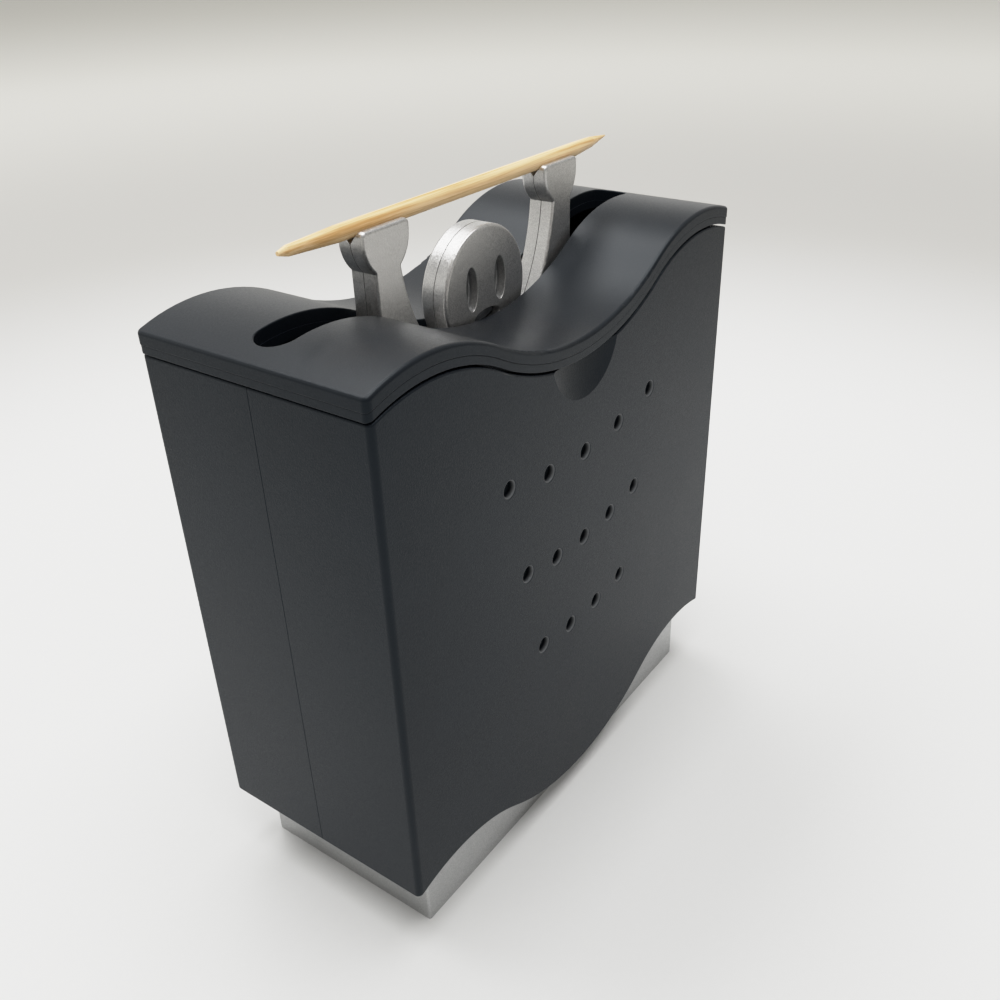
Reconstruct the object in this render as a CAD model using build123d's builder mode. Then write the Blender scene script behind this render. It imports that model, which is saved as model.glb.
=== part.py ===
from build123d import *
import os
from math import sqrt

# Toothpick holder: lifting the black casing sinks the silver figure's hands into the stock of toothpicks,
# and lowering it brings one toothpick out through the slot of the lid.
# X runs along the wide front, the front faces -Y, Z is up, and the origin is on the table under the middle.
# All sizes are in millimetres.

# Wave of the lid, the casing's upper edge and its lower edge
wave_crest_x = 30.75
wave_height = 8.34
wave_valley_radius = 35.3

# Casing, with edge heights given at the valley of the wave
casing_length = 78.5
casing_depth = 34.5
casing_wall = 2.2
casing_low_edge = 3.4
casing_high_edge = 70.75
casing_corner_radius = 0.8
casing_edge_round = 0.25
seam_lap = 2.0
seam_lap_thickness = 1.0
seam_gap = 0.1
seam_chamfer = 0.06

# Thumb scoop under the lid
scoop_radius = 7.7
scoop_depth = 1.3
scoop_above_edge = 2.55

# Dimples of the front, row by row, with each row's drop below the casing's upper edge
dimple_counts = (5, 5, 4)
dimple_spacings = (8.55, 6.8, 6.8)
dimple_drops = (13.0, 26.25, 39.2)
dimple_row_radius = 62.0
dimple_radius = 1.05
dimple_depth = 1.3
dimple_rim_round = 0.3
dimple_floor_round = 0.5

# Lid
lid_end_overhang = 0.2
lid_corner_radius = 0.8
lid_gap = 0.3
lid_frame_thickness = 1.09
lid_frame_inset = 0.05
lid_frame_round = 0.1
lid_top_thickness = 1.6
lid_top_round = 0.5
lid_top_low_round = 0.08
lid_slot_end = 2.95
lid_slot_width = 5.3
lid_slot_round = 0.15
lid_slot_step = 0.12
spigot_clearance = 0.25
spigot_wall = 1.2

# Toothpick
pick_length = 65.0
pick_radius = 0.97
pick_height = 89.9
pick_left_taper = 8.6
pick_left_neck = 1.4
pick_left_neck_radius = 0.62
pick_left_tip_radius = 0.25
pick_left_tip_rise = 0.1
pick_right_taper = 8.6
pick_right_neck = 4.2
pick_right_neck_radius = 0.74
pick_right_tip_radius = 0.1
pick_right_tip_rise = 0.4

# Lift of the casing
pick_landing_gap = 0.3
slide_clearance = 0.4
end_gap = 2.025
guide_clearance = 0.3
guide_width = 2.0
guide_y = 10.0
stop_height = 2.0
stop_reach = 1.6
stop_gap = 0.1
stop_margin = 1.93
stop_inner_y = 2.5
stop_outer_y = 6.5

# Hopper tray
tray_clearance = 0.25
tray_wall = 1.4
tray_floor = 1.2
tray_rim_drop = 4.75
channel_clearance = 0.3
channel_depth = 1.6
tray_ledge = 2.2
ramp_thickness = 1.5
figure_slot_clearance = 0.45

# Base
base_corner_radius = 0.4
base_edge_round = 0.3
base_wall = 1.8
deck_thickness = 2.0
deck_pad_height = 1.1
deck_pad_length = 6.0
deck_pad_width = 5.0
deck_pad_x = 28.0
deck_slot_clearance = 0.25
tongue_height = 15.0
tongue_slit = 1.0
plate_thickness = 2.0
plate_recess = 0.4
plate_clearance = 0.2
plate_boss_radius = 3.0
plate_boss_height = 14.0
plate_boss_inset = 2.6
ballast_length = 48.0
ballast_depth = 20.0
ballast_height = 10.0
ballast_chamfer = 0.6
stake_radius = 2.0
stake_head_radius = 3.2
stake_head_height = 1.2
stake_x = 15.0
stake_clearance = 0.15

# Figure, with the drops of its corners below the toothpick's axis
figure_thickness = 4.0
figure_edge_round = 0.4
figure_parting_chamfer = 0.06
torso_half_width = 20.3
shoulder_drop = 19.45
shoulder_half_width = 9.4
wrist_inner_x = 15.85
arm_bulge = 1.3
wrist_drop = 5.25
wrist_round = 0.2
palm_drop = 1.5
hand_inner_x = 14.0
hand_outer_x = 21.9
hand_drop = 0.2
hand_corner_round = 0.6
groove_drop = 1.75
groove_clearance = 0.1
head_drop = 12.98
head_radius = 8.45
eye_x = 3.0
eye_rise = 0.9
eye_width = 2.35
eye_length = 5.75
face_depth = 1.4
face_floor_round = 0.2
face_rim_round = 0.08
mouth_drop = 3.37
mouth_length = 5.4
mouth_width = 1.9
flange_half_length = 24.0
flange_half_depth = 9.5
flange_thickness = 3.0
flange_boss_radius = 2.5
flange_boss_height = 4.0
peg_radius = 1.5
peg_length = 1.1
peg_clearance = 0.1
peg_x = 12.0
peg_rise = 8.5

# Screws
shank_radius = 1.1
pilot_clearance = 0.05
hole_clearance = 0.2
screw_head_radius = 1.9
screw_head_height = 1.3
recess_length = 2.2
recess_width = 0.5
recess_depth = 0.7
figure_screw_x = 14.0
figure_screw_y = 6.6
figure_screw_length = 8.0
tray_screw_x = 28.0
tray_screw_y = 11.0
tray_screw_length = 4.8
tray_boss_radius = 2.2
tray_lug_half_length = 4.0
tray_lug_inner_y = 8.3
tray_lug_thickness = 2.0
tray_lug_gap = 0.7
base_screw_length = 9.0

# Wave arcs that meet in a common tangent
wave_crest_radius = (wave_crest_x**2 + wave_height**2) / (2 * wave_height) - wave_valley_radius
wave_blend_x = wave_crest_x * wave_valley_radius / (wave_valley_radius + wave_crest_radius)


def wave_rise(x):
    # Height of the wave above its valley.
    from_middle = abs(x)
    if from_middle < wave_blend_x:
        return wave_valley_radius - sqrt(wave_valley_radius**2 - from_middle**2)
    return wave_height - wave_crest_radius + sqrt(wave_crest_radius**2 - (from_middle - wave_crest_x) ** 2)


# Plan sizes that follow the casing
casing_inner_length = casing_length - 2 * casing_wall
casing_inner_depth = casing_depth - 2 * casing_wall
base_length = casing_inner_length - 2 * end_gap
base_depth = casing_inner_depth - 2 * slide_clearance
base_inner_length = base_length - 2 * base_wall
base_inner_depth = base_depth - 2 * base_wall
tray_length = casing_inner_length - 2 * tray_clearance
tray_depth = casing_inner_depth - 2 * tray_clearance
tray_inner_length = tray_length - 2 * tray_wall
tray_inner_depth = tray_depth - 2 * tray_wall
spigot_length = casing_inner_length - 2 * spigot_clearance
spigot_depth = casing_inner_depth - 2 * spigot_clearance
lid_length = casing_length + 2 * lid_end_overhang
lid_slot_length = lid_length - 2 * lid_slot_end
figure_slot_length = 2 * (hand_outer_x + figure_slot_clearance)
figure_slot_width = figure_thickness + 2 * figure_slot_clearance
keel_half_width = figure_slot_width / 2 + tray_wall
channel_half_width = pick_radius + channel_clearance
groove_radius = pick_radius + groove_clearance
groove_half_width = groove_radius / sqrt(1 - (groove_radius / groove_drop) ** 2)
pilot_radius = shank_radius + pilot_clearance
through_radius = shank_radius + hole_clearance

# Heights up to the toothpick: it hangs two lifts above the casing's stops, one that takes a stop to its hook
# and one that takes the channel's floor to the toothpick
casing_end_edge = casing_low_edge + wave_rise(casing_length / 2)
stop_top = casing_end_edge + stop_margin + stop_height
pick_underside = pick_height - pick_radius - pick_landing_gap
stacked_thickness = stop_gap + stop_height + deck_pad_height + tray_floor
lift_travel = (pick_underside - stop_top - stacked_thickness) / 2
hook_low = stop_top + stop_gap + lift_travel
base_height = hook_low + stop_height
tray_under = base_height + deck_pad_height
channel_floor = tray_under + tray_floor
deck_under = base_height - deck_thickness
foot_bottom = deck_under - flange_thickness
plate_top = plate_recess + plate_thickness

# Heights of the hopper and the lid
tray_rim = casing_high_edge - tray_rim_drop
ramp_low = channel_floor + channel_depth
ramp_high = tray_rim - tray_ledge
ramp_slope = (ramp_high - ramp_low) / (tray_inner_depth / 2 - channel_half_width)
ramp_drop = ramp_thickness * sqrt(1 + ramp_slope**2)
ramp_under = ramp_low - ramp_drop - channel_half_width * ramp_slope
lug_top = ramp_under + tray_lug_inner_y * ramp_slope - tray_lug_gap
lid_frame_low = casing_high_edge + lid_gap
lid_top_low = lid_frame_low + lid_frame_thickness
lid_top_high = lid_top_low + lid_top_thickness

# Heights of the figure
hand_top = pick_height - hand_drop
palm_height = pick_height - palm_drop
wrist_height = pick_height - wrist_drop
shoulder_height = pick_height - shoulder_drop
head_height = pick_height - head_drop
eye_height = head_height + eye_rise
mouth_height = head_height - mouth_drop
peg_height = base_height + peg_rise


def wave_slab(length, depth, low, high, corner_radius):
    # Block between two waves, with rounded upright corners.
    half = length / 2
    spans = ((-half, -wave_blend_x), (-wave_blend_x, wave_blend_x), (wave_blend_x, half))
    with BuildPart() as slab:
        with BuildSketch(Plane.XZ):
            with BuildLine():
                for valley in (low, high):
                    for start, stop in spans:
                        stations = (start, (start + stop) / 2, stop)
                        ThreePointArc(*[(x, valley + wave_rise(x)) for x in stations])
                for x in (-half, half):
                    Line((x, low + wave_rise(x)), (x, high + wave_rise(x)))
            make_face()
        extrude(amount=depth / 2, both=True)
        fillet(slab.edges().filter_by(Axis.Z), corner_radius)
    return slab.part


def rim_edges(slab, length, depth, corner_radius, low, high):
    # Edges round the outside of a wavy block whose height over the wave lies between low and high.
    def on_rim(edge):
        middle = edge.position_at(0.5)
        outside = abs(middle.X) > (length - corner_radius) / 2 or abs(middle.Y) > (depth - corner_radius) / 2
        over_wave = middle.Z - wave_rise(min(abs(middle.X), length / 2))
        return outside and low < over_wave < high

    upright = slab.edges().filter_by(Axis.Z)
    return ShapeList([edge for edge in slab.edges() if edge not in upright and on_rim(edge)])


def both_ways(x, y):
    # The four places that a plan position and its mirror images give.
    return [(x, y), (-x, y), (x, -y), (-x, -y)]


def screws(places, seat, length, turn):
    # Pan head screws whose heads rest on the seat height, turn 1 with the head above and -1 below.
    with BuildPart() as group:
        with BuildSketch(Plane.XY.offset(seat)):
            with Locations(*places):
                Circle(screw_head_radius)
        extrude(amount=turn * screw_head_height)
        with BuildSketch(Plane.XY.offset(seat)):
            with Locations(*places):
                Circle(shank_radius)
        extrude(amount=-turn * length)
        with BuildSketch(Plane.XY.offset(seat + turn * screw_head_height)):
            with Locations(*places):
                Rectangle(recess_length, recess_width)
                Rectangle(recess_width, recess_length)
        extrude(amount=-turn * recess_depth, mode=Mode.SUBTRACT)
    return group.part


os.makedirs("parts", exist_ok=True)

# Casing as one tube, before it is parted
casing_slab = wave_slab(casing_length, casing_depth, casing_low_edge, casing_high_edge, casing_corner_radius)
with BuildPart() as casing_tube:
    add(casing_slab)
    rim = rim_edges(casing_tube, casing_length, casing_depth, casing_corner_radius, 0, lid_top_high)
    fillet(rim, casing_edge_round)
    with BuildSketch():
        Rectangle(casing_inner_length, casing_inner_depth)
    extrude(amount=lid_top_high + wave_height, mode=Mode.SUBTRACT)

# Region of the front half: everything before the seam, and the lips that reach behind the rear half's ends
lip_x = (casing_inner_length + seam_lap_thickness) / 2


def front_region(growth):
    with BuildPart() as region:
        with BuildSketch():
            with Locations((0, -casing_depth / 2)):
                Rectangle(2 * casing_length, casing_depth)
            with Locations((-lip_x, 0), (lip_x, 0)):
                Rectangle(seam_lap_thickness + 2 * growth, 2 * (seam_lap + growth))
        extrude(amount=lid_top_high + wave_height)
    return region.part


def casing_fittings(side):
    # Guides, lift stops and tray lugs inside one half of the casing, side -1 in front and 1 behind.
    guide_reach = end_gap - guide_clearance
    guide_low = casing_end_edge + casing_edge_round
    bite = (casing_wall - seam_lap_thickness / 2) / 2
    with BuildPart() as fittings:
        with BuildSketch(Plane.XY.offset(guide_low)):
            for end in (-1, 1):
                with Locations((end * (casing_inner_length / 2 + (bite - guide_reach) / 2), side * guide_y)):
                    Rectangle(guide_reach + bite, guide_width)
        extrude(amount=base_height - guide_low)
        with BuildSketch(Plane.XY.offset(stop_top - stop_height)):
            for end in (-1, 1):
                stop_y = side * (stop_inner_y + stop_outer_y) / 2
                with Locations((end * (casing_inner_length / 2 + (bite - stop_reach) / 2), stop_y)):
                    Rectangle(stop_reach + bite, stop_outer_y - stop_inner_y)
        extrude(amount=stop_height)
        with BuildSketch(Plane.XY.offset(lug_top - tray_lug_thickness)):
            lug_outer_y = casing_inner_depth / 2 + bite
            for end in (-1, 1):
                with Locations((end * tray_screw_x, side * (tray_lug_inner_y + lug_outer_y) / 2)):
                    Rectangle(2 * tray_lug_half_length, lug_outer_y - tray_lug_inner_y)
            with Locations((-tray_screw_x, side * tray_screw_y), (tray_screw_x, side * tray_screw_y)):
                Circle(through_radius, mode=Mode.SUBTRACT)
        extrude(amount=tray_lug_thickness)
    return fittings.part


def seam_edges(half):
    # Outer edges of the seam on the two end faces.
    upright = half.edges().filter_by(Axis.Z).filter_by_position(Axis.Y, -seam_gap, seam_gap)
    outer_x = casing_length / 2 - seam_gap
    return ShapeList([edge for edge in upright if abs(edge.center().X) > outer_x])


def dimple_edges(half):
    # Circles at the mouths and the floors of the dimples.
    circles = half.edges().filter_by(GeomType.CIRCLE)
    return ShapeList([edge for edge in circles if abs(edge.radius - dimple_radius) < seam_gap])


# Front half of the casing
front_fittings = casing_fittings(-1)
front_half = front_region(0)
with BuildPart() as front_shell:
    add(casing_tube.part)
    add(front_half, mode=Mode.INTERSECT)
    chamfer(seam_edges(front_shell), seam_chamfer)
    add(front_fittings)
    with BuildSketch(Plane.XZ.offset(casing_depth / 2)):
        for count, spacing, drop in zip(dimple_counts, dimple_spacings, dimple_drops):
            for place in range(count):
                x = (place - (count - 1) / 2) * spacing
                rise = dimple_row_radius - sqrt(dimple_row_radius**2 - x**2)
                with Locations((x, casing_high_edge - drop + rise)):
                    Circle(dimple_radius)
    extrude(amount=-dimple_depth, mode=Mode.SUBTRACT)
    fillet(dimple_edges(front_shell).group_by(Axis.Y)[-1], dimple_floor_round)
    fillet(dimple_edges(front_shell).group_by(Axis.Y)[0], dimple_rim_round)
    scoop_ball = (scoop_radius**2 + scoop_depth**2) / (2 * scoop_depth)
    with Locations((0, scoop_depth - scoop_ball - casing_depth / 2, casing_high_edge + scoop_above_edge)):
        Sphere(scoop_ball, mode=Mode.SUBTRACT)
front_shell.part.label = "front_shell"
export_step(front_shell.part, "parts/front_shell.step")

# Rear half of the casing
rear_fittings = casing_fittings(1)
rear_cut = front_region(seam_gap)
with BuildPart() as rear_shell:
    add(casing_tube.part)
    add(rear_cut, mode=Mode.SUBTRACT)
    chamfer(seam_edges(rear_shell), seam_chamfer)
    add(rear_fittings)
rear_shell.part.label = "rear_shell"
export_step(rear_shell.part, "parts/rear_shell.step")

# Hopper tray: ramps that lead to a channel for one toothpick, open in the middle for the figure
with BuildPart() as hopper_tray:
    with BuildSketch(Plane.YZ):
        with BuildLine():
            Polyline(
                (-tray_depth / 2, tray_rim),
                (-tray_depth / 2, ramp_under + tray_depth / 2 * ramp_slope),
                (-keel_half_width, ramp_under + keel_half_width * ramp_slope),
                (-keel_half_width, tray_under),
                (keel_half_width, tray_under),
                (keel_half_width, ramp_under + keel_half_width * ramp_slope),
                (tray_depth / 2, ramp_under + tray_depth / 2 * ramp_slope),
                (tray_depth / 2, tray_rim),
                close=True,
            )
        make_face()
    extrude(amount=tray_length / 2, both=True)
    with BuildSketch(Plane.XY.offset(lug_top)):
        with Locations(*both_ways(tray_screw_x, tray_screw_y)):
            Circle(tray_boss_radius)
    extrude(amount=tray_rim - lug_top)
    with BuildSketch(Plane.YZ):
        with BuildLine():
            Polyline(
                (-tray_inner_depth / 2, tray_rim),
                (-tray_inner_depth / 2, ramp_high),
                (-channel_half_width, ramp_low),
                (-channel_half_width, channel_floor),
                (channel_half_width, channel_floor),
                (channel_half_width, ramp_low),
                (tray_inner_depth / 2, ramp_high),
                (tray_inner_depth / 2, tray_rim),
                close=True,
            )
        make_face()
    extrude(amount=tray_inner_length / 2, both=True, mode=Mode.SUBTRACT)
    with BuildSketch(Plane.XY.offset(tray_under)):
        RectangleRounded(figure_slot_length, figure_slot_width, figure_slot_clearance)
    extrude(amount=tray_rim - tray_under, mode=Mode.SUBTRACT)
    with BuildSketch(Plane.XY.offset(lug_top)):
        with Locations(*both_ways(tray_screw_x, tray_screw_y)):
            Circle(pilot_radius)
    extrude(amount=tray_screw_length - tray_lug_thickness + pilot_clearance, mode=Mode.SUBTRACT)
hopper_tray.part.label = "hopper_tray"
export_step(hopper_tray.part, "parts/hopper_tray.step")

# Screws that hold the tray on the casing's lugs
with BuildPart() as tray_screws:
    add(screws(both_ways(tray_screw_x, tray_screw_y), lug_top - tray_lug_thickness, tray_screw_length, -1))
tray_screws.part.label = "tray_screws"
export_step(tray_screws.part, "parts/tray_screws.step")

# Lower tier of the lid, with the spigot that stands on the tray's rim inside the casing
spigot_slab = wave_slab(spigot_length, spigot_depth, tray_rim - wave_height, lid_top_low, spigot_clearance)
frame_length = lid_length - 2 * lid_frame_inset
frame_depth = casing_depth - 2 * lid_frame_inset
frame_slab = wave_slab(frame_length, frame_depth, lid_frame_low, lid_top_low, lid_corner_radius)
with BuildPart() as lid_frame:
    add(spigot_slab)
    with BuildSketch():
        Rectangle(casing_length, casing_depth)
    extrude(amount=tray_rim, mode=Mode.SUBTRACT)
    with BuildSketch():
        Rectangle(spigot_length - 2 * spigot_wall, spigot_depth - 2 * spigot_wall)
    extrude(amount=lid_top_high + wave_height, mode=Mode.SUBTRACT)
    add(frame_slab)
    rim = rim_edges(lid_frame, frame_length, frame_depth, lid_corner_radius, casing_high_edge, lid_top_high)
    fillet(rim, lid_frame_round)
    with BuildSketch():
        SlotOverall(lid_slot_length - 2 * lid_slot_step, lid_slot_width - 2 * lid_slot_step)
    extrude(amount=lid_top_high + wave_height, mode=Mode.SUBTRACT)
lid_frame.part.label = "lid_frame"
export_step(lid_frame.part, "parts/lid_frame.step")


def slot_rim_edges(slab, low):
    # Edges round the mouth of the lid's slot whose height over the wave is above low.
    def on_rim(edge):
        middle = edge.position_at(0.5)
        return abs(middle.Y) < lid_slot_width and middle.Z - wave_rise(middle.X) > low

    upright = slab.edges().filter_by(Axis.Z)
    inner = slab.edges().filter_by_position(Axis.X, -lid_slot_length / 2, lid_slot_length / 2)
    return ShapeList([edge for edge in inner if edge not in upright and on_rim(edge)])


# Top plate of the lid
top_slab = wave_slab(lid_length, casing_depth, lid_top_low, lid_top_high, lid_corner_radius)
with BuildPart() as lid_top:
    add(top_slab)
    middle_height = (lid_top_low + lid_top_high) / 2
    rim = rim_edges(lid_top, lid_length, casing_depth, lid_corner_radius, middle_height, 2 * lid_top_high)
    fillet(rim, lid_top_round)
    rim = rim_edges(lid_top, lid_length, casing_depth, lid_corner_radius, 0, middle_height)
    fillet(rim, lid_top_low_round)
    with BuildSketch():
        SlotOverall(lid_slot_length, lid_slot_width)
    extrude(amount=lid_top_high + wave_height, mode=Mode.SUBTRACT)
    fillet(slot_rim_edges(lid_top, middle_height), lid_slot_round)
lid_top.part.label = "lid_top"
export_step(lid_top.part, "parts/lid_top.step")

# Base: a box closed by its deck, with a slot for the figure and a hooked tongue at each end
with BuildPart() as base_shell:
    with BuildSketch():
        RectangleRounded(base_length, base_depth, base_corner_radius)
    extrude(amount=base_height)
    fillet(base_shell.faces().sort_by(Axis.Z)[-1].edges(), base_edge_round)
    with BuildSketch():
        Rectangle(base_inner_length, base_inner_depth)
    extrude(amount=deck_under, mode=Mode.SUBTRACT)
    boss_places = both_ways(base_inner_length / 2 - plate_boss_inset, base_inner_depth / 2 - plate_boss_inset)
    with BuildSketch(Plane.XY.offset(plate_top)):
        with Locations(*boss_places):
            Circle(plate_boss_radius)
    extrude(amount=plate_boss_height)
    with BuildSketch(Plane.XY.offset(plate_top)):
        with Locations(*boss_places):
            Circle(pilot_radius)
    pilot_depth = base_screw_length - plate_thickness + screw_head_height + pilot_clearance
    extrude(amount=pilot_depth, mode=Mode.SUBTRACT)
    with BuildSketch(Plane.XY.offset(base_height)):
        with Locations((-deck_pad_x, 0), (deck_pad_x, 0)):
            Rectangle(deck_pad_length, deck_pad_width)
    extrude(amount=deck_pad_height)
    with BuildSketch(Plane.XY.offset(deck_under)):
        deck_slot_length = 2 * (hand_outer_x + deck_slot_clearance)
        deck_slot_width = figure_thickness + 2 * deck_slot_clearance
        RectangleRounded(deck_slot_length, deck_slot_width, deck_slot_clearance)
        with Locations(*both_ways(figure_screw_x, figure_screw_y)):
            Circle(through_radius)
    extrude(amount=deck_thickness, mode=Mode.SUBTRACT)
    tongue_half_width = stop_outer_y - tongue_slit
    for end in (-1, 1):
        with BuildSketch(Plane.XY.offset(base_height - tongue_height)):
            slit_x = end * (base_length - base_wall) / 2
            with Locations((slit_x, -stop_outer_y), (slit_x, stop_outer_y)):
                Rectangle(2 * base_wall, tongue_slit)
        extrude(amount=tongue_height, mode=Mode.SUBTRACT)
        with BuildSketch(Plane.XY.offset(deck_under)):
            with Locations((end * (base_inner_length - tongue_slit) / 2, 0)):
                Rectangle(tongue_slit, 2 * stop_outer_y + tongue_slit)
        extrude(amount=deck_thickness, mode=Mode.SUBTRACT)
        with BuildSketch(Plane.XY.offset(hook_low)):
            with Locations((end * (base_length + stop_reach - base_wall) / 2, 0)):
                Rectangle(stop_reach + base_wall, 2 * tongue_half_width)
        extrude(amount=stop_height)
base_shell.part.label = "base_shell"
export_step(base_shell.part, "parts/base_shell.step")

# Plate that closes the base, with two staked pegs for the ballast
ballast_top = plate_top + ballast_height
with BuildPart() as base_plate:
    with BuildSketch(Plane.XY.offset(plate_recess)):
        Rectangle(base_inner_length - 2 * plate_clearance, base_inner_depth - 2 * plate_clearance)
        with Locations(*boss_places):
            Circle(through_radius, mode=Mode.SUBTRACT)
    extrude(amount=plate_thickness)
    with BuildSketch(Plane.XY.offset(plate_recess)):
        with Locations(*boss_places):
            Circle(screw_head_radius + hole_clearance)
    extrude(amount=screw_head_height, mode=Mode.SUBTRACT)
    with BuildSketch(Plane.XY.offset(plate_top)):
        with Locations((-stake_x, 0), (stake_x, 0)):
            Circle(stake_radius)
    extrude(amount=ballast_height)
    with BuildSketch(Plane.XY.offset(ballast_top)):
        with Locations((-stake_x, 0), (stake_x, 0)):
            Circle(stake_head_radius)
    extrude(amount=stake_head_height)
base_plate.part.label = "base_plate"
export_step(base_plate.part, "parts/base_plate.step")

# Steel ballast
with BuildPart() as ballast:
    with BuildSketch(Plane.XY.offset(plate_top)):
        Rectangle(ballast_length, ballast_depth)
    extrude(amount=ballast_height)
    chamfer(ballast.edges(), ballast_chamfer)
    with BuildSketch(Plane.XY.offset(plate_top)):
        with Locations((-stake_x, 0), (stake_x, 0)):
            Circle(stake_radius + stake_clearance)
    extrude(amount=ballast_height, mode=Mode.SUBTRACT)
ballast.part.label = "ballast"
export_step(ballast.part, "parts/ballast.step")

# Screws that hold the base plate
with BuildPart() as base_screws:
    add(screws(boss_places, plate_recess + screw_head_height, base_screw_length, -1))
base_screws.part.label = "base_screws"
export_step(base_screws.part, "parts/base_screws.step")


def figure_half(side):
    # Half of the figure's thickness, side -1 in front and 1 behind, with its foot flange under the deck.
    wrist = (wrist_inner_x, wrist_height)
    shoulder = (shoulder_half_width, shoulder_height)
    arm_middle = ((wrist_inner_x + shoulder_half_width) / 2 + arm_bulge, (wrist_height + shoulder_height) / 2)
    with BuildPart() as half:
        with BuildSketch(Plane.XZ):
            with BuildLine():
                Polyline((0, foot_bottom), (torso_half_width, foot_bottom), (torso_half_width, wrist_height))
                TangentArc((hand_outer_x, palm_height), (torso_half_width, wrist_height), tangent=(0, -1))
                Polyline(
                    (hand_outer_x, palm_height),
                    (hand_outer_x, hand_top),
                    (hand_inner_x, hand_top),
                    (hand_inner_x, palm_height),
                )
                TangentArc((hand_inner_x, palm_height), wrist, tangent=(0, -1))
                ThreePointArc(wrist, arm_middle, shoulder)
                Polyline(shoulder, (0, shoulder_height), (0, foot_bottom))
            make_face()
            mirror(about=Plane.YZ)
            with Locations((0, head_height)):
                Circle(head_radius)
        extrude(amount=-side * figure_thickness / 2)
        fillet(half.edges().filter_by(Axis.Y).group_by(Axis.Z)[-1], hand_corner_round)
        wrist_low = wrist_height - wrist_round
        wrist_high = wrist_height + wrist_round
        fillet(half.edges().filter_by(Axis.Y).filter_by_position(Axis.Z, wrist_low, wrist_high), wrist_round)
        face_edges = half.faces().sort_by(Axis.Y)[0 if side < 0 else -1].edges()
        fillet([edge for edge in face_edges if edge.center().Z > deck_under], figure_edge_round)
        middle_edges = half.faces().sort_by(Axis.Y)[-1 if side < 0 else 0].edges()
        chamfer([edge for edge in middle_edges if edge.center().Z > deck_under], figure_parting_chamfer)
        with BuildSketch(Plane.YZ):
            with BuildLine():
                Polyline(
                    (0, pick_height - groove_drop),
                    (groove_half_width, pick_height),
                    (-groove_half_width, pick_height),
                    close=True,
                )
            make_face()
        extrude(amount=casing_length / 2, both=True, mode=Mode.SUBTRACT)
        with BuildSketch(Plane.XY.offset(foot_bottom)):
            with Locations((0, side * flange_half_depth / 2)):
                Rectangle(2 * flange_half_length, flange_half_depth)
        extrude(amount=flange_thickness)
        screw_places = [(-figure_screw_x, side * figure_screw_y), (figure_screw_x, side * figure_screw_y)]
        with BuildSketch(Plane.XY.offset(foot_bottom)):
            with Locations(*screw_places):
                Circle(flange_boss_radius)
        extrude(amount=-flange_boss_height)
        with BuildSketch(Plane.XY.offset(deck_under)):
            with Locations(*screw_places):
                Circle(pilot_radius)
        extrude(amount=deck_thickness - figure_screw_length - pilot_clearance, mode=Mode.SUBTRACT)
    return half.part


def ellipse_edges(half, depth):
    # Outlines of the eyes and the mouth that lie at the given depth.
    near = half.edges().filter_by_position(Axis.Y, depth - face_rim_round, depth + face_rim_round)
    return near.filter_by(GeomType.ELLIPSE)


# Front half of the figure, with the recesses of its eyes and mouth and the sockets of the rear half's pegs
front_plate = figure_half(-1)
with BuildPart() as figure_front:
    add(front_plate)
    with BuildSketch(Plane.XZ.offset(figure_thickness / 2)):
        with Locations((-eye_x, eye_height), (eye_x, eye_height)):
            Ellipse(eye_width / 2, eye_length / 2)
        with Locations((0, mouth_height)):
            Ellipse(mouth_length / 2, mouth_width / 2)
    extrude(amount=-face_depth, mode=Mode.SUBTRACT)
    face_plane = -figure_thickness / 2
    floor_plane = face_plane + face_depth
    fillet(ellipse_edges(figure_front, floor_plane), face_floor_round)
    fillet(ellipse_edges(figure_front, face_plane), face_rim_round)
    with BuildSketch(Plane.XZ):
        with Locations((-peg_x, peg_height), (peg_x, peg_height)):
            Circle(peg_radius + peg_clearance)
    extrude(amount=peg_length + peg_clearance, mode=Mode.SUBTRACT)
figure_front.part.label = "figure_front"
export_step(figure_front.part, "parts/figure_front.step")

# Rear half of the figure, with its pegs
rear_plate = figure_half(1)
with BuildPart() as figure_rear:
    add(rear_plate)
    with BuildSketch(Plane.XZ):
        with Locations((-peg_x, peg_height), (peg_x, peg_height)):
            Circle(peg_radius)
    extrude(amount=peg_length)
figure_rear.part.label = "figure_rear"
export_step(figure_rear.part, "parts/figure_rear.step")

# Screws that hold the figure's flanges under the deck
with BuildPart() as figure_screws:
    add(screws(both_ways(figure_screw_x, figure_screw_y), base_height, figure_screw_length, 1))
figure_screws.part.label = "figure_screws"
export_step(figure_screws.part, "parts/figure_screws.step")


def pick_point(end, taper, neck, neck_radius, tip_radius, tip_rise):
    # Pointed end of the toothpick, with its tip above the axis, end -1 on the left and 1 on the right.
    sections = ((taper, pick_radius), (neck, neck_radius), (0, tip_radius))
    with BuildPart() as point:
        for from_tip, radius in sections:
            with BuildSketch(Plane.YZ.offset(end * (pick_length / 2 - from_tip))):
                with Locations((0, pick_height + tip_rise * (1 - from_tip / taper))):
                    Circle(radius)
        loft(ruled=True)
    return point.part


# Toothpick in the figure's hands
left_point = pick_point(
    -1, pick_left_taper, pick_left_neck, pick_left_neck_radius, pick_left_tip_radius, pick_left_tip_rise
)
right_point = pick_point(
    1, pick_right_taper, pick_right_neck, pick_right_neck_radius, pick_right_tip_radius, pick_right_tip_rise
)
with BuildPart() as toothpick:
    with BuildSketch(Plane.YZ.offset(pick_left_taper - pick_length / 2)):
        with Locations((0, pick_height)):
            Circle(pick_radius)
    extrude(amount=pick_length - pick_left_taper - pick_right_taper)
    add(left_point)
    add(right_point)
toothpick.part.label = "toothpick"
export_step(toothpick.part, "parts/toothpick.step")
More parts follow.
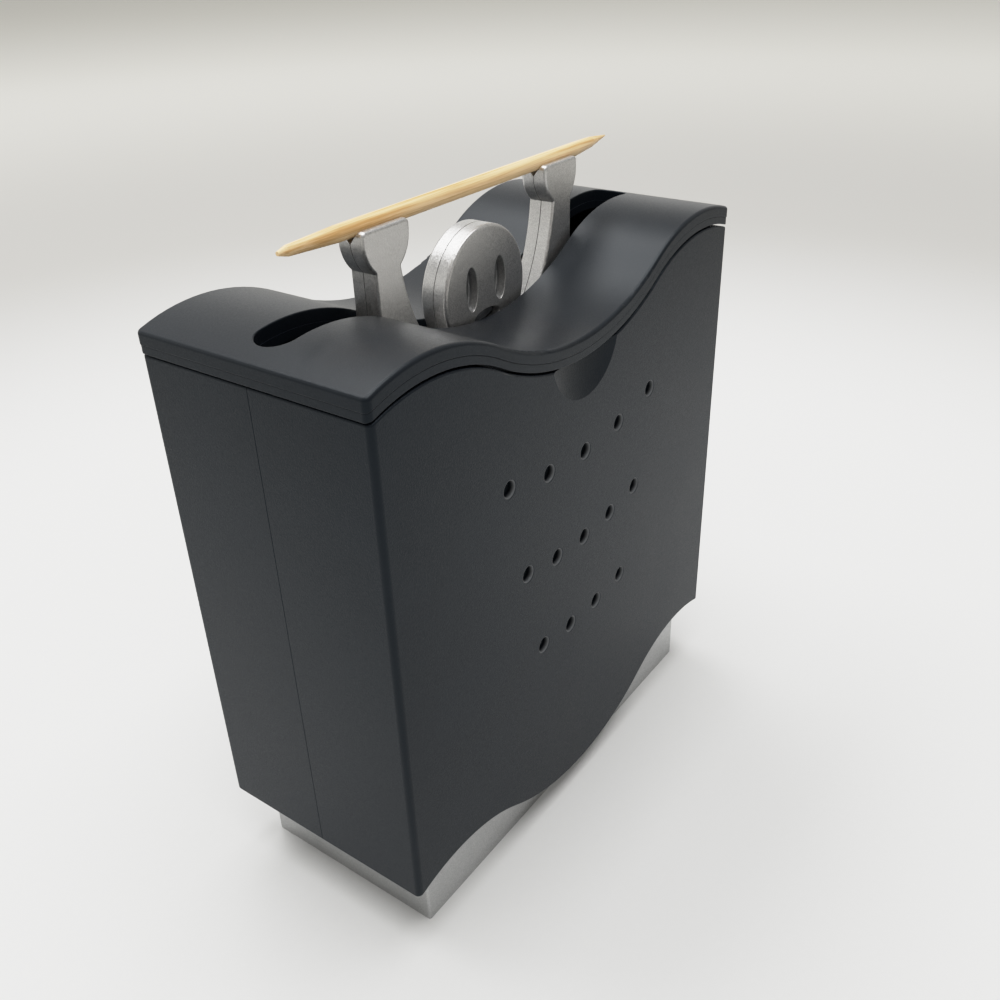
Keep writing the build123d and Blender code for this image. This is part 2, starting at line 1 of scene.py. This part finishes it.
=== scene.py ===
import bpy
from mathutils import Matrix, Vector

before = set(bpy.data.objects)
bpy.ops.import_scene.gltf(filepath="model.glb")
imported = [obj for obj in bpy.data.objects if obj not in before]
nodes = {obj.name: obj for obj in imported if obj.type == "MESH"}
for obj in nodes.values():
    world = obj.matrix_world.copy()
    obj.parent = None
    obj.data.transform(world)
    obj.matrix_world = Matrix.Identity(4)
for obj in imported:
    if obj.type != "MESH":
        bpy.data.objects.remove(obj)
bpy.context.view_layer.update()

scene = bpy.context.scene
mm = 0.001
middle = 0.5  # of every noise and of every random value
print("frame loaded:", len(nodes), "nodes")


class Wire:
    # a socket of a node tree, so that shader maths reads as plain expressions
    def __init__(self, tree, socket=None):
        self.tree = tree
        self.socket = socket

    def node(self, kind, settings={}, inputs={}, out=0):
        made = self.tree.nodes.new(kind)
        for name, value in settings.items():
            setattr(made, name, value)
        for name, value in inputs.items():
            if isinstance(value, Wire):
                self.tree.links.new(value.socket, made.inputs[name])
            else:
                made.inputs[name].default_value = value
        return Wire(self.tree, made.outputs[out])

    def math(self, operation, first, second):
        return self.node("ShaderNodeMath", {"operation": operation}, {0: first, 1: second})

    def __add__(self, other):
        return self.math("ADD", self, other)

    def __sub__(self, other):
        return self.math("SUBTRACT", self, other)

    def __rsub__(self, other):
        return self.math("SUBTRACT", other, self)

    def __mul__(self, other):
        return self.math("MULTIPLY", self, other)

    __radd__ = __add__
    __rmul__ = __mul__

    def vector(self, operation, *others, out=0):
        inputs = dict(enumerate((self, *others)))
        return self.node("ShaderNodeVectorMath", {"operation": operation}, inputs, out)

    def axis(self, index):  # 0 along X, 1 along Y, 2 along Z
        return self.node("ShaderNodeSeparateXYZ", {}, {0: self}, out=index)

    def size(self):  # the value without its sign
        return self.node("ShaderNodeMath", {"operation": "ABSOLUTE"}, {0: self})

    def swing(self, amount):  # the value's swing about its middle
        return (self - middle) * amount

    def step(self, low, high):  # 0 below low, 1 above high, smooth between
        limits = {"Value": self, "From Min": low, "From Max": high}
        return self.node("ShaderNodeMapRange", {"interpolation_type": "SMOOTHSTEP"}, limits)

    def tint(self, first, second):  # from the first colour to the second as this value goes from 0 to 1
        return self.node("ShaderNodeMix", {"data_type": "RGBA"}, {0: self, 6: first, 7: second}, out=2)

    def plug(self, owner, name):
        self.tree.links.new(self.socket, owner.inputs[name])


def startFinish(name):
    made = bpy.data.materials.new(name)
    made.use_nodes = True
    shader = made.node_tree.nodes["Principled BSDF"]
    place = Wire(made.node_tree).node("ShaderNodeTexCoord", out="Object")
    return made, shader, place


def noise(place, scale, detail=2.0, roughness=0.5):
    settings = {"Vector": place, "Scale": scale, "Detail": detail, "Roughness": roughness}
    return place.node("ShaderNodeTexNoise", {}, settings)


def cells(place, scale):  # one random colour for each tiny cell
    return place.node("ShaderNodeTexVoronoi", {}, {"Vector": place, "Scale": scale}, out="Color")


def specks(place, scale):  # one random value for each tiny cell
    colours = cells(place, scale)
    return colours.node("ShaderNodeSeparateColor", {}, {0: colours})


def facets(place, scale, tilt):  # the surface's normal, leaned at random in each tiny cell
    colours = cells(place, scale)
    facing = place.node("ShaderNodeNewGeometry", out="Normal")
    lean = colours.vector("SUBTRACT", (middle, middle, middle))
    return lean.vector("MULTIPLY_ADD", (tilt, tilt, tilt), facing).vector("NORMALIZE")


def bump(height, strength, depth, normal=None):
    inputs = {"Strength": strength, "Distance": depth, "Height": height}
    if normal:
        inputs["Normal"] = normal
    return height.node("ShaderNodeBump", {}, inputs)


def dress(finish, *names):
    for name in names:
        nodes[name].material_slots[0].material = finish


# charcoal plastic, moulded with a fine spark-eroded grain and polished by handling where it faces up
charcoal = {
    "colour": (0.0056, 0.0076, 0.0109, 1),
    "handled": (0.0074, 0.0098, 0.0136, 1),
    "specular": 0.15,
    "specularTint": (0.76, 0.90, 1.0, 1),
    "roughness": 0.38,
    "polish": 0.09,
    "polishFrom": (0.25, 0.65),
    "gloss": 0.0,
    "grainScale": 5000,
    "grainDetail": (3, 0.6),
    "grainSwing": 0.20,
    "grainStrength": 0.8,
    "grainDepth": 0.03 * mm,
    "facetScale": 8500,
    "facetTilt": 0.06,
    "cloudScale": 70,
    "cloudFrom": (0.35, 0.65),
    "cloudSwing": 0.08,
    # pale colour of the highlight painted on the dimples' rims
    "rimHighlight": (0.12, 0.125, 0.13, 1),
    "frontPlane": -17.25 * mm,
    "rimFrom": (0.01 * mm, 0.08 * mm),
    "rimTo": (0.15 * mm, 0.80 * mm),
    "dimplesBelow": (64.6 * mm, 65.0 * mm),
    "dimplesWithin": (30 * mm, 31 * mm),
}


def paintedRimHighlight(place, look):  # 1 on the rounded rims of the front's dimples, fading down their walls, where a pale highlight is painted
    along = [place.axis(index) for index in range(3)]
    depth = along[1] - look["frontPlane"]
    rim = depth.step(*look["rimFrom"]) * (1 - depth.step(*look["rimTo"]))
    field = (1 - along[0].size().step(*look["dimplesWithin"])) * (1 - along[2].step(*look["dimplesBelow"]))
    return rim * field


def makeCharcoal(name, look, dimpled=False):
    finish, shader, place = startFinish(name)
    grain = noise(place, look["grainScale"], *look["grainDetail"])
    cloud = noise(place, look["cloudScale"])
    facing = place.node("ShaderNodeNewGeometry", out="Normal")
    upward = facing.axis(2).step(*look["polishFrom"])
    shader.inputs["Specular IOR Level"].default_value = look["specular"]
    shader.inputs["Specular Tint"].default_value = look["specularTint"]
    colour = cloud.step(*look["cloudFrom"]).tint(look["colour"], look["handled"])
    if dimpled:  # a pale highlight is painted on the dimples' rims
        colour = paintedRimHighlight(place, look).tint(colour, look["rimHighlight"])
    colour.plug(shader, "Base Color")
    rough = look["roughness"] - upward * look["polish"]
    rough = rough + grain.swing(look["grainSwing"]) + cloud.swing(look["cloudSwing"])
    rough.plug(shader, "Roughness")
    if look["gloss"]:  # a thin gloss where it faces up
        shader.inputs["Coat Roughness"].default_value = look["glossRoughness"]
        (upward * look["gloss"]).plug(shader, "Coat Weight")
    facet = facets(place, look["facetScale"], look["facetTilt"])
    bump(grain, look["grainStrength"], look["grainDepth"], facet).plug(shader, "Normal")
    return finish


# silver paint with fine metal flake on the figure and the base
silver = {
    "colour": (0.52, 0.515, 0.507, 1),
    "flake": (0.71, 0.704, 0.694, 1),
    "metal": 0.92,
    "roughness": 0.36,
    "flakeScale": 8500,
    "flakeTilt": 0.10,
    "flakeSwing": 0.14,
    "peelScale": 4200,
    "peelDetail": 3,
    "peelSwing": 0.08,
    "peelStrength": 0.6,
    "peelDepth": 0.02 * mm,
    "partingEdge": (0.028 * mm, 0.07 * mm),
    "partingColour": (0.05, 0.048, 0.046, 1),
    "partingRoughness": 0.3,
    "headMiddle": (0, 0, 76.92 * mm),
    "hollowReach": (6.4 * mm, 7.0 * mm),
    "hollowPlane": -2.0 * mm,
    "hollowDepth": (0.75 * mm, 1.35 * mm),
    "hollowEnd": (1.6 * mm, 1.9 * mm),
    # darker colours painted as shade at the bottom of the mouth and of the eyes
    "mouthShade": (0.13, 0.136, 0.148, 1),
    "eyeShade": (0.36, 0.366, 0.375, 1),
    "eyesAbove": (74.55 * mm, 74.9 * mm),
}


def recessShadeMask(place, along, look):  # 1 at the bottom of the eyes and of the mouth, where shade is painted
    flat = place.vector("SUBTRACT", look["headMiddle"]).vector("MULTIPLY", (1, 0, 1))
    reach = flat.vector("LENGTH", out=1)
    depth = along - look["hollowPlane"]
    sunk = depth.step(*look["hollowDepth"]) * (1 - depth.step(*look["hollowEnd"]))
    return sunk * (1 - reach.step(*look["hollowReach"]))


def makeSilver(name, look, parted):
    finish, shader, place = startFinish(name)
    flake = specks(place, look["flakeScale"])
    peel = noise(place, look["peelScale"], look["peelDetail"])
    paint = flake.tint(look["colour"], look["flake"])
    rough = look["roughness"] + flake.swing(look["flakeSwing"]) + peel.swing(look["peelSwing"])
    if parted:  # dark line where the figure's two halves meet, and painted shade at the bottom of the eyes and the mouth
        along = place.axis(1)
        line = 1 - along.size().step(*look["partingEdge"])
        height = place.axis(2)
        shade = height.step(*look["eyesAbove"]).tint(look["mouthShade"], look["eyeShade"])
        paint = recessShadeMask(place, along, look).tint(paint, shade)
        paint = line.tint(paint, look["partingColour"])
        rough = rough + line * look["partingRoughness"]
        (look["metal"] * (1 - line)).plug(shader, "Metallic")
    else:
        shader.inputs["Metallic"].default_value = look["metal"]
    paint.plug(shader, "Base Color")
    rough.plug(shader, "Roughness")
    facet = facets(place, look["flakeScale"], look["flakeTilt"])
    bump(peel, look["peelStrength"], look["peelDepth"], facet).plug(shader, "Normal")
    return finish


# pale wood of the toothpick, with its grain along X
wood = {
    "light": (1.0, 0.72, 0.40, 1),
    "dark": (0.62, 0.34, 0.11, 1),
    "darkFrom": (0.42, 0.68),
    "stretch": (0.022, 1.0, 1.0),
    "fibreScale": 3200,
    "fibreDetail": (4, 0.6),
    "fibreShare": 0.6,
    "fibreSwing": 0.2,
    "fibreStrength": 0.5,
    "fibreDepth": 0.05 * mm,
    "streakScale": 960,
    "streakShare": 0.4,
    "roughness": 0.46,
}


def makeWood(look):
    finish, shader, place = startFinish("paleWood")
    along = place.node("ShaderNodeMapping", {}, {"Vector": place, "Scale": look["stretch"]})
    fibre = noise(along, look["fibreScale"], *look["fibreDetail"])
    streak = noise(along, look["streakScale"])
    darkness = (fibre * look["fibreShare"] + streak * look["streakShare"]).step(*look["darkFrom"])
    darkness.tint(look["light"], look["dark"]).plug(shader, "Base Color")
    (look["roughness"] + fibre.swing(look["fibreSwing"])).plug(shader, "Roughness")
    bump(fibre, look["fibreStrength"], look["fibreDepth"]).plug(shader, "Normal")
    return finish


# zinc plated steel of the screws and the ballast
steel = {
    "bright": (0.60, 0.60, 0.60, 1),
    "dull": (0.36, 0.36, 0.37, 1),
    "dullFrom": (0.3, 0.7),
    "metal": 1.0,
    "roughness": 0.34,
    "cloudScale": 420,
    "cloudDetail": 3,
    "stretch": (0.05, 1.0, 1.0),
    "scratchScale": 5200,
    "scratchSwing": 0.2,
    "scratchStrength": 0.3,
    "scratchDepth": 0.01 * mm,
}


def makeSteel(look):
    finish, shader, place = startFinish("zincSteel")
    cloud = noise(place, look["cloudScale"], look["cloudDetail"])
    along = place.node("ShaderNodeMapping", {}, {"Vector": place, "Scale": look["stretch"]})
    scratch = noise(along, look["scratchScale"])
    shader.inputs["Metallic"].default_value = look["metal"]
    cloud.step(*look["dullFrom"]).tint(look["bright"], look["dull"]).plug(shader, "Base Color")
    (look["roughness"] + scratch.swing(look["scratchSwing"])).plug(shader, "Roughness")
    bump(scratch, look["scratchStrength"], look["scratchDepth"]).plug(shader, "Normal")
    return finish


satinLid = charcoal | {"polish": 0.03, "gloss": 0.25, "glossRoughness": 0.35, "grainDepth": 0.015 * mm}
innerPlastic = charcoal | {"roughness": 0.56, "polish": 0.05, "grainScale": 2600}
# the base's silver is a darker copy of the figure's silver: painted shade, as the base stands under the
# casing
shadedSilver = silver | {"colour": (0.365, 0.369, 0.37, 1), "flake": (0.505, 0.509, 0.507, 1)}
dress(makeCharcoal("dimpledPlastic", charcoal, dimpled=True), "front_shell")
dress(makeCharcoal("charcoalPlastic", charcoal), "rear_shell")
dress(makeCharcoal("satinPlastic", satinLid), "lid_top", "lid_frame")
dress(makeCharcoal("innerPlastic", innerPlastic), "hopper_tray", "base_plate")
dress(makeSilver("shadedBaseSilverPaint", shadedSilver, False), "base_shell")
dress(makeSilver("silverFigurePaint", silver, True), "figure_front", "figure_rear")
dress(makeWood(wood), "toothpick")
dress(makeSteel(steel), "tray_screws", "base_screws", "figure_screws", "ballast")
print("finishes on", len(nodes), "nodes")


# pale paper that the holder stands on, white near it, with painted shade in a ring further out and warm
# painted light further back
paper = {
    "side": 8.0,
    "colour": (0.88, 0.88, 0.87, 1),
    "fibre": (0.86, 0.86, 0.85, 1),
    "fibreScale": 900,
    "shade": (0.53, 0.52, 0.495, 1),
    "shadeFrom": (0.13, 0.33),
    "backLight": (0.90, 0.885, 0.82, 1),
    "backLightFrom": (0.35, 0.85),
    "roughness": 0.8,
    "specular": 0.2,
}


def layPaper(look):
    bpy.ops.object.select_all(action="DESELECT")
    bpy.ops.mesh.primitive_plane_add(size=look["side"])
    sheet = bpy.context.object
    sheet.name = "paper"
    finish, shader, place = startFinish("palePaper")
    white = noise(place, look["fibreScale"]).tint(look["colour"], look["fibre"])
    reach = place.vector("LENGTH", out=1)
    # painted shade in a ring around the holder, then painted light further back
    shaded = reach.step(*look["shadeFrom"]).tint(white, look["shade"])
    reach.step(*look["backLightFrom"]).tint(shaded, look["backLight"]).plug(shader, "Base Color")
    shader.inputs["Roughness"].default_value = look["roughness"]
    shader.inputs["Specular IOR Level"].default_value = look["specular"]
    sheet.data.materials.append(finish)


layPaper(paper)
print("paper laid")

# white surround of the studio: bright behind the holder, dimmer on the photographer's side
surround = {
    "near": (0.36, 0.345, 0.325, 1),
    "far": (0.98, 0.97, 0.935, 1),
    "ceiling": (0.42, 0.417, 0.41, 1),
    "away": (0.15, 0.99, 0.0),
    "fade": (-0.5, 0.6),
    "rise": (0.2, 0.7),
}


def hangSurround(look):
    world = bpy.data.worlds.new("studio")
    scene.world = world
    world.use_nodes = True
    towards = Wire(world.node_tree).node("ShaderNodeTexCoord", out="Generated")
    share = towards.vector("DOT_PRODUCT", look["away"], out=1)
    height = towards.axis(2)
    walls = share.step(*look["fade"]).tint(look["near"], look["far"])
    glow = height.step(*look["rise"]).tint(walls, look["ceiling"])
    glow.plug(world.node_tree.nodes["Background"], "Color")


# two broad soft lamps, aimed at the holder: one above and behind it, one overhead
lampAim = Vector((0, 0, 0.04))
lamps = [
    {"name": "backStrip", "place": (0.05, 0.49, 0.89), "size": (0.86, 0.35), "power": 4.4},
    {"name": "topPanel", "place": (0.0, -0.12, 0.95), "size": (0.8, 0.6), "power": 6.6},
]


def hangLamp(look):
    lamp = bpy.data.lights.new(look["name"], "AREA")
    lamp.shape = "RECTANGLE"
    lamp.size, lamp.size_y = look["size"]
    lamp.energy = look["power"]
    hung = bpy.data.objects.new(look["name"], lamp)
    scene.collection.objects.link(hung)
    hung.location = look["place"]
    hung.rotation_euler = (lampAim - Vector(look["place"])).to_track_quat("-Z", "Y").to_euler()


hangSurround(surround)
for lampLook in lamps:
    hangLamp(lampLook)
print("lamps hung:", len(lamps))

# camera where the photographer stood
view = {
    "place": (-102.505 * mm, -79.593 * mm, 120.767 * mm),
    "turn": (1.0403864, 0.0309763, -0.9469516),
    "lens": 37.057,
    "sensor": 36.0,
    "nearest": 5 * mm,
}


def setCamera(look):
    lens = bpy.data.cameras.new("photoCamera")
    lens.lens = look["lens"]
    lens.sensor_width = look["sensor"]
    lens.clip_start = look["nearest"]
    camera = bpy.data.objects.new("photoCamera", lens)
    scene.collection.objects.link(camera)
    camera.location = look["place"]
    camera.rotation_euler = look["turn"]
    scene.camera = camera


# tone of the photographer's camera: true in the darks and rolled off in the whites
tone = {
    "white": 1.8,
    "points": [(0.222, 0.400), (0.361, 0.615), (0.500, 0.750), (0.694, 0.855)],
    "top": (1.0, 0.940),
}


def setTone(look):
    settings = scene.view_settings
    settings.view_transform = "Standard"
    settings.use_curve_mapping = True
    mapping = settings.curve_mapping
    mapping.white_level = [look["white"]] * 3
    shared = mapping.curves[3]  # the curve of all three colours together
    shared.points[-1].location = look["top"]
    for place in look["points"]:
        shared.points.new(*place)
    mapping.update()


setCamera(view)
setTone(tone)
print("camera set")
